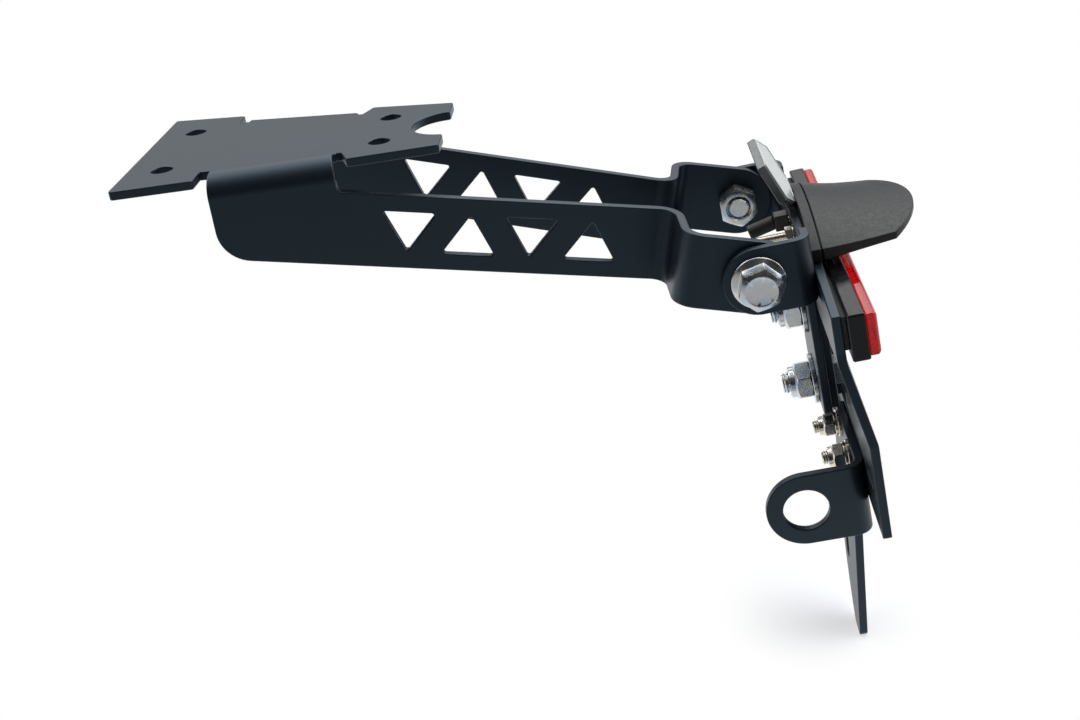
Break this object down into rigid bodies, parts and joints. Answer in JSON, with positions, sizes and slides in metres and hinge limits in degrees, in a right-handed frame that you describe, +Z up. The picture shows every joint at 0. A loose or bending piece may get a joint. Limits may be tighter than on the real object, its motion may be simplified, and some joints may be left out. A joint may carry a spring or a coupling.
{
  "type": "motorbike tail tidy",
  "caption": "Folded black steel bracket with lightened arms carrying a tilting number plate holder, plate lamp, reflector and a signal ear.",
  "frame": {"origin": "on the upper face of the top plate, midway between its front and rear hole pairs, on the bracket's centre line", "axes": "+X rearwards, +Y to the bike's right, +Z up, square to the top plate"},
  "size_m": [0.2606, 0.144, 0.213],
  "materials": {
    "black_powder_coat": "satin black powder coat on steel sheet",
    "zinc": "blue-white zinc plate",
    "stainless": "bright stainless steel",
    "nylon": "white nylon",
    "lamp_plastic": "finely grained dark grey plastic",
    "clear_plastic": "clear plastic",
    "board": "green circuit board",
    "led": "yellow-white diode",
    "cable_plastic": "black moulded plastic",
    "cable_rubber": "black soft sleeve",
    "badge_plastic": "dark glossy plastic",
    "badge_metal": "pale satin plate",
    "foam_tape": "black foam tape",
    "reflector_plastic": "dark grey plastic",
    "red_reflex": "red prismatic reflector"
  },
  "bodies": {
    "bracket": {"main_bracket": "black_powder_coat", "pivot_bolts": "zinc", "pivot_nuts": "zinc"},
    "holder": {"hinge_bracket": "black_powder_coat", "plate_bracket": "black_powder_coat", "signal_bracket": "black_powder_coat", "plate_bolts": "zinc", "plate_washers": "zinc", "plate_nuts": "zinc", "plate_nut_rings": "nylon", "signal_nut_rings": "nylon", "signal_bolts": "stainless", "signal_washers": "stainless", "signal_spring_washers": "stainless", "signal_nuts": "stainless", "lamp_base": "lamp_plastic", "lamp_hood": "lamp_plastic", "lamp_lens": "clear_plastic", "lamp_board": "board", "lamp_leds": "led", "lamp_stud": "stainless", "lamp_washer": "stainless", "lamp_nut": "stainless", "cable_block": "cable_plastic", "cable_ferrule": "stainless", "cable_sleeve": "cable_rubber", "badge_block": "badge_plastic", "badge_face": "badge_metal", "badge_pin": "stainless", "reflector_tape": "foam_tape", "reflector_body": "reflector_plastic", "reflector_lens": "red_reflex"}
  },
  "joints": [
    {"name": "plate_tilt", "type": "hinge", "parent": "bracket", "child": "holder", "pos_m": [0.1555, 0, -0.05145], "axis": [0, 1, 0], "range_deg": [-35, 35]}
  ]
}
